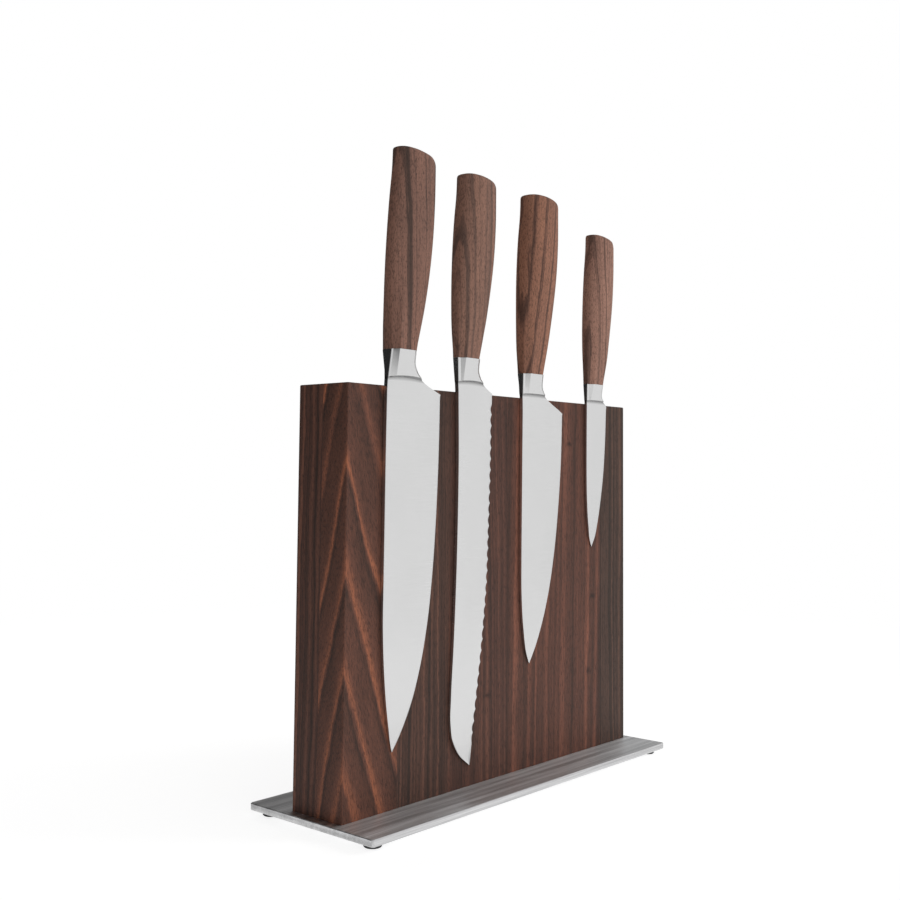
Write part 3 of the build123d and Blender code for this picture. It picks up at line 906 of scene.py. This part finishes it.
# Ranges of noise and what they turn into: (low, high, value at low, value at high)
RING_STRENGTH = (0.38, 0.6, 0.3, 1.0)
HANDLE_GRAIN = (0.33, 0.53, 0.0, 0.68)
PORES_SHOW = (0.5, 0.62, 0.0, 1.0)
GRAIN_DARK_SIDE = 0.22  # how far below and above a half the grain's noise has full contrast
GRAIN_LIGHT_SIDE = 0.26
FIBRE_STRENGTH = 0.9
CLOUD_STRENGTH = 0.6
KNOT_SQUASH = (0.55, 0.5, 1.0)
KNOT_STRENGTH = 0.8
KNOT_CORE = 0.9  # in radii, as are the next two
KNOT_REACH = 2.6
KNOT_RAGGEDNESS = 2.4
FRONT_FACE_Y = -20.0


def banded_shade(g, across):
    """Wide rings with a sharp light line each, some of them weaker than others."""
    stops = [(fraction, (shade, shade, shade)) for fraction, shade in RING_PROFILE]
    profile = g.ramp(g.math("FRACT", across), stops)
    strength = g.spread(g.bands(g.math("ADD", across, RING_STRENGTH_START), 1, 0.5), *RING_STRENGTH)
    weak = (WEAK_RING_SHADE, WEAK_RING_SHADE, WEAK_RING_SHADE, 1)
    return g.mix(strength, weak, profile)


def ring_shade(g, kind, across, seed, contrast):
    """The rings' shade, 0 to 1: wide bands, or fine uneven lines."""
    if kind == "banded":
        return banded_shade(g, across)
    grain = g.bands(g.math("ADD", across, seed * GRAIN_SEED_STEP), 4, 0.62)
    if kind == "handle":
        return g.spread(grain, *HANDLE_GRAIN)
    low = 0.5 - GRAIN_DARK_SIDE / contrast
    high = 0.5 + GRAIN_LIGHT_SIDE / contrast
    return g.spread(grain, low, high, 0.0, 1.0)


def with_knots(g, place, colour, knots, dark):
    """A colour with small dark knots of uneven outline."""
    smudge = g.noise(place, *SMUDGE)
    for x, z, radius in knots:
        offset = g.vector("SUBTRACT", g.place, (x, FRONT_FACE_Y, z))
        distance = g.vector("LENGTH", g.scaled(offset, KNOT_SQUASH))
        distance = g.add(distance, smudge, radius * KNOT_RAGGEDNESS)
        core = g.spread(distance, radius * KNOT_CORE, radius * KNOT_REACH, KNOT_STRENGTH, 0.0)
        colour = g.mix(core, colour, dark)
    return colour


def walnut(name, kind, tones, rings, seed, lean=UPRIGHT, knots=(), contrast=1.0):
    """Walnut with its grain along Z, as GRAINS, STAVE_TONES, LEANING_RINGS and KNOTS_3 describe it."""
    g = Graph(name)
    wander, ragged, pore_noise, pore_strength = GRAINS[kind]
    height = g.vector("DOT_PRODUCT", g.place, (0, 0, 1))
    slide = g.vector("SCALE", (-lean[0], -lean[1], 0), scale=height)
    place = g.vector("ADD", g.place, slide)
    place = g.vector("ADD", place, tuple(seed * step for step in SEED_STEP))
    wave = g.vector("SUBTRACT", g.noise(place, *WANDER, "Color"), (0.5, 0.5, 0.5))
    wave = g.vector("SCALE", wave, scale=wander)
    across = g.vector("DOT_PRODUCT", g.vector("ADD", g.place, wave), rings)
    across = g.add(across, g.noise(place, *RAGGED_EDGE), ragged)
    fibre = g.noise(place, *FIBRE)
    shade = ring_shade(g, kind, across, seed, contrast)
    shade = g.sway(shade, fibre, FIBRE_STRENGTH)
    shade = g.sway(shade, g.noise(place, *CLOUD), CLOUD_STRENGTH)
    colour = g.ramp(shade, [(0.0, tones[0]), (0.5, tones[1]), (1.0, tones[2])])
    pores = g.spread(g.noise(place, *pore_noise), *PORES_SHOW)
    dark = (*tones[3], 1)
    colour = g.mix(g.math("MULTIPLY", pores, pore_strength), colour, dark)
    if knots:
        colour = with_knots(g, place, colour, knots, dark)
    relief = g.math("SUBTRACT", g.math("MULTIPLY", fibre, 0.4), pores)
    g.set(
        base_color=colour,
        roughness=g.add(0.5, fibre, 0.2),
        normal=g.bump(relief, 0.06, 0.7),
        specular_ior_level=0.2,
    )
    return g.material


# ---- Other materials ----
# Worked metals: tone, roughness, scratches in a millimetre along X, Y and Z, and their depth
METALS = {
    "zinc_steel": ((0.72, 0.73, 0.75), 0.3, (2.0, 2.0, 0.5), 0.01),
    "brass": ((0.72, 0.52, 0.2), 0.35, (1.0, 1.0, 3.0), 0.02),
    "mild_steel": ((0.42, 0.42, 0.43), 0.5, (0.1, 2.0, 2.0), 0.02),
    "blade_steel": ((0.74, 0.74, 0.74), 0.24, (0.06, 0.5, 3.0), 0.0008),
}
# Grainy stuff: dark and light tone, noise as for wood, relief, and lowest and highest roughness
RUBBER = ((0.012, 0.012, 0.013), (0.03, 0.03, 0.032), ((2.5, 2.5, 2.5), 3, 0.6), 0.05, (0.6, 0.8))
FERRITE = ((0.03, 0.03, 0.033), (0.075, 0.075, 0.08), ((1.2, 1.2, 1.2), 4, 0.65), 0.06, (0.55, 0.8))
BEECH_DARK = (0.5, 0.33, 0.19)
BEECH_LIGHT = (0.66, 0.47, 0.3)
PLATE_DARK = (0.46, 0.46, 0.465)
PLATE_LIGHT = (0.88, 0.88, 0.885)
PAINTED_SHADE_TONE = 0.3  # share of the steel's own tone, as the painted shade below the bolster
PAINTED_SHADE_STRENGTH = 0.8


def turned_wood(name):
    """Plain pale dowel wood with fine grain along Y."""
    g = Graph(name)
    grain = g.noise(g.place, (1.6, 0.08, 1.6), 3, 0.6)
    g.set(
        base_color=g.ramp(grain, [(0.35, BEECH_DARK), (0.65, BEECH_LIGHT)]),
        roughness=g.add(0.55, grain, 0.2),
        normal=g.bump(grain, 0.04),
    )
    return g.material


def metal(name, variation=0.06, painted_shade=False):
    """Worked metal: fine scratches, and slow changes of tone and gloss."""
    tone, rough, lines, depth = METALS[name]
    g = Graph(name)
    scratch = g.noise(g.place, lines, 3, 0.65)
    cloud = g.noise(g.place, (0.03, 0.03, 0.02), 2, 0.5)
    darker = tuple(c * (1 - variation) for c in tone)
    lighter = tuple(c * (1 + variation) for c in tone)
    shade = g.add(g.math("MULTIPLY", scratch, 0.6), cloud, 0.4)
    colour = g.ramp(shade, [(0.35, darker), (0.65, lighter)])
    # Painted shade: the steel's colour is darkened in the hollow just below the bolster, where shade
    # falls
    if painted_shade:
        painted_shade_attribute = g.tree.nodes.new("ShaderNodeAttribute")
        painted_shade_attribute.attribute_name = "painted_shade"
        share = g.math("MULTIPLY", painted_shade_attribute.outputs["Fac"], PAINTED_SHADE_STRENGTH)
        colour = g.mix(share, colour, (*(c * PAINTED_SHADE_TONE for c in tone), 1))
    g.set(
        base_color=colour,
        roughness=g.spread(shade, 0.3, 0.7, rough * 0.85, rough * 1.15),
        normal=g.bump(scratch, depth),
        metallic=1.0,
    )
    return g.material


def brushed_plate():
    """Stainless steel brushed along X: uneven long lines, and highlights drawn out across them."""
    g = Graph("brushed_plate")
    lines = g.noise(g.place, (0.02, 2.2, 2.2), 4, 0.75)
    broad = g.noise(g.place, (0.004, 0.16, 0.16), 3, 0.7)
    shade = g.add(g.math("MULTIPLY", lines, 0.5), broad, 0.5)
    tangent = g.tree.nodes.new("ShaderNodeTangent")
    tangent.direction_type = "RADIAL"
    tangent.axis = "X"
    g.set(
        base_color=g.ramp(shade, [(0.38, PLATE_DARK), (0.62, PLATE_LIGHT)]),
        roughness=g.spread(shade, 0.3, 0.7, 0.36, 0.5),
        normal=g.bump(lines, 0.02),
        tangent=tangent.outputs["Tangent"],
        metallic=1.0,
        anisotropic=0.75,
    )
    return g.material


def grainy(name, stuff):
    """A dull material with an even fine grain."""
    dark, light, noise, relief, roughness = stuff
    g = Graph(name)
    grain = g.noise(g.place, *noise)
    g.set(
        base_color=g.ramp(grain, [(0.3, dark), (0.7, light)]),
        roughness=g.spread(grain, 0.3, 0.7, *roughness),
        normal=g.bump(grain, relief),
    )
    return g.material


# ---- Materials of the CAD nodes ----
def dress(nodes, material):
    """One material for these CAD nodes."""
    for name in nodes:
        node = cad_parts[name]
        for slot in node.material_slots:
            slot.link = "OBJECT"
            slot.material = material
        if not node.material_slots:
            node.data.materials.append(material)


def dress_block():
    """Each stave is its own piece of walnut."""
    seed = FIRST_STAVE_SEED
    for side, staves in (("front", FRONT_STAVES), ("rear", REAR_STAVES)):
        for number, (kind, tones, rings, lean, knots, contrast) in enumerate(staves, 1):
            name = f"{side}_stave_{number}"
            wood = walnut(name, kind, STAVE_TONES[tones], rings, seed, lean, knots, contrast)
            dress([name], wood)
            seed += 1


def dress_metal():
    """Plate, feet and the hidden parts."""
    dress(["base_plate"], brushed_plate())
    dress([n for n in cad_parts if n.startswith("foot_")], grainy("foot_rubber", RUBBER))
    dress(["base_screws"], metal("zinc_steel"))
    dress(["threaded_inserts"], metal("brass"))
    dress(["upper_yoke", "lower_yoke"], metal("mild_steel"))
    dress([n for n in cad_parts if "magnets" in n], grainy("ferrite", FERRITE))
    dress(["board_dowels"], turned_wood("beech"))


def make_knives():
    """The four knives, each on its own body."""
    steel = metal("blade_steel", variation=0.03, painted_shade=True)
    for seed, (name, knife) in enumerate(KNIVES.items(), FIRST_HANDLE_SEED):
        blade = blade_piece(f"{name}_blade_ground", knife, steel)
        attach(blade, name)
        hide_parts(f"{name}_blade")
        tones, rings = HANDLE_TONES[name], HANDLE_RINGS[name]
        wood = walnut(f"{name}_walnut", "handle", tones, rings, seed)
        handle = handle_piece(f"{name}_handle_shaped", knife, wood)
        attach(handle, name)
        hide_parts(f"{name}_handle")


# ---- Stage ----
def camera_turn():
    """The camera's axes: right, up, and back towards the camera from what it looks at."""
    azimuth = math.radians(CAMERA_AZIMUTH)
    elevation = math.radians(CAMERA_ELEVATION)
    roll = math.radians(CAMERA_ROLL)
    reach = math.cos(elevation)
    back = Vector((math.sin(azimuth) * reach, -math.cos(azimuth) * reach, math.sin(elevation)))
    level = (-back).cross(Vector((0, 0, 1))).normalized()
    upright = level.cross(-back)
    right = level * math.cos(roll) + upright * math.sin(roll)
    up = upright * math.cos(roll) - level * math.sin(roll)
    return Matrix((right, up, back)).transposed().to_4x4()


def camera():
    """The photograph's viewpoint: to the left of the front, and looking slightly upwards."""
    data = bpy.data.cameras.new("camera")
    data.lens = CAMERA_LENS
    data.sensor_width = CAMERA_SENSOR
    data.shift_y = CAMERA_SHIFT_Y
    data.clip_start = CAMERA_CLIP_START * MM
    viewer = link(bpy.data.objects.new("camera", data))
    viewer.matrix_world = Matrix.Translation(Vector(CAMERA_PLACE) * MM) @ camera_turn()
    bpy.context.scene.camera = viewer


def softbox(name, place, target, size, power):
    """A square area light that points at a target and doesn't show in reflections."""
    data = bpy.data.lights.new(name, "AREA")
    data.shape = "SQUARE"
    data.size = size
    data.energy = power
    light = link(bpy.data.objects.new(name, data))
    aim = Vector(target) - Vector(place)
    light.rotation_euler = aim.to_track_quat("-Z", "Y").to_euler()
    light.location = place
    light.visible_glossy = False


def surroundings():
    """A studio that lights from the front right and is dark behind, on a plain white backdrop."""
    world = bpy.data.worlds.new("studio")
    bpy.context.scene.world = world
    world.use_nodes = True
    tree = world.node_tree
    tree.nodes.clear()
    coordinates = tree.nodes.new("ShaderNodeTexCoord")
    lean = tree.nodes.new("ShaderNodeVectorMath")
    lean.operation = "DOT_PRODUCT"
    lean.inputs[1].default_value = STUDIO_BRIGHT_SIDE
    tree.links.new(coordinates.outputs["Generated"], lean.inputs[0])
    light = map_range(tree, lean.outputs["Value"], STUDIO_FALL, STUDIO_LIGHT)
    seen = tree.nodes.new("ShaderNodeLightPath")
    backdrop = tree.nodes.new("ShaderNodeMix")
    backdrop.data_type = "RGBA"
    backdrop.inputs[7].default_value = (1.0, 1.0, 1.0, 1.0)
    tree.links.new(seen.outputs["Is Camera Ray"], backdrop.inputs["Factor"])
    tree.links.new(light, backdrop.inputs[6])
    background = tree.nodes.new("ShaderNodeBackground")
    output = tree.nodes.new("ShaderNodeOutputWorld")
    tree.links.new(backdrop.outputs[2], background.inputs["Color"])
    tree.links.new(background.outputs["Background"], output.inputs["Surface"])


def floor_material():
    """Pale in the middle and plain white far out, and a little dimmer as mirrored in the object."""
    material = bpy.data.materials.new("pale_floor")
    material.use_nodes = True
    tree = material.node_tree
    pale = tree.nodes["Principled BSDF"]
    pale.inputs["Base Color"].default_value = (FLOOR_TONE, FLOOR_TONE, FLOOR_TONE, 1)
    pale.inputs["Roughness"].default_value = 0.7
    pale.inputs["Specular IOR Level"].default_value = 0.1
    pale.inputs["Emission Color"].default_value = (1, 1, 1, 1)
    white = tree.nodes.new("ShaderNodeEmission")
    mirrored = tree.nodes.new("ShaderNodeLightPath").outputs["Is Glossy Ray"]
    pale_glow = map_range(tree, mirrored, (0, 1), FLOOR_GLOW, "LINEAR")
    white_glow = map_range(tree, mirrored, (0, 1), WHITE_GLOW, "LINEAR")
    tree.links.new(pale_glow, pale.inputs["Emission Strength"])
    tree.links.new(white_glow, white.inputs["Strength"])
    coordinates = tree.nodes.new("ShaderNodeTexCoord")
    distance = tree.nodes.new("ShaderNodeVectorMath")
    distance.operation = "LENGTH"
    tree.links.new(coordinates.outputs["Object"], distance.inputs[0])
    both = tree.nodes.new("ShaderNodeMixShader")
    share = map_range(tree, distance.outputs["Value"], FLOOR_FADE, (0, 1))
    tree.links.new(share, both.inputs["Fac"])
    tree.links.new(pale.outputs["BSDF"], both.inputs[1])
    tree.links.new(white.outputs["Emission"], both.inputs[2])
    tree.links.new(both.outputs["Shader"], tree.nodes["Material Output"].inputs["Surface"])
    return material


def floor():
    """A pale round floor that goes over into the white backdrop."""
    mesh = bpy.data.meshes.new("floor")
    turns = [2 * math.pi * n / FLOOR_SIDES for n in range(FLOOR_SIDES)]
    rim = [(FLOOR_RADIUS * math.cos(turn), FLOOR_RADIUS * math.sin(turn), 0) for turn in turns]
    mesh.from_pydata(rim, [], [tuple(range(FLOOR_SIDES))])
    mesh.materials.append(floor_material())
    link(bpy.data.objects.new("floor", mesh))


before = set(bpy.data.objects)
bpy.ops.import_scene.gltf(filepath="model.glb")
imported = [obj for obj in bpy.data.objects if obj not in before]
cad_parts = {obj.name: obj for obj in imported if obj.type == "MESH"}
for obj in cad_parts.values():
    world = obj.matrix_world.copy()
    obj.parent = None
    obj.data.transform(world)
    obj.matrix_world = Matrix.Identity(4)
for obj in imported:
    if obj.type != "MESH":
        bpy.data.objects.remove(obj)
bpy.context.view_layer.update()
camera()
bpy.context.scene.view_settings.view_transform = "Standard"
surroundings()
for name, settings in SOFTBOXES.items():
    softbox(name, **settings)
floor()
dress_block()
dress_metal()
make_knives()
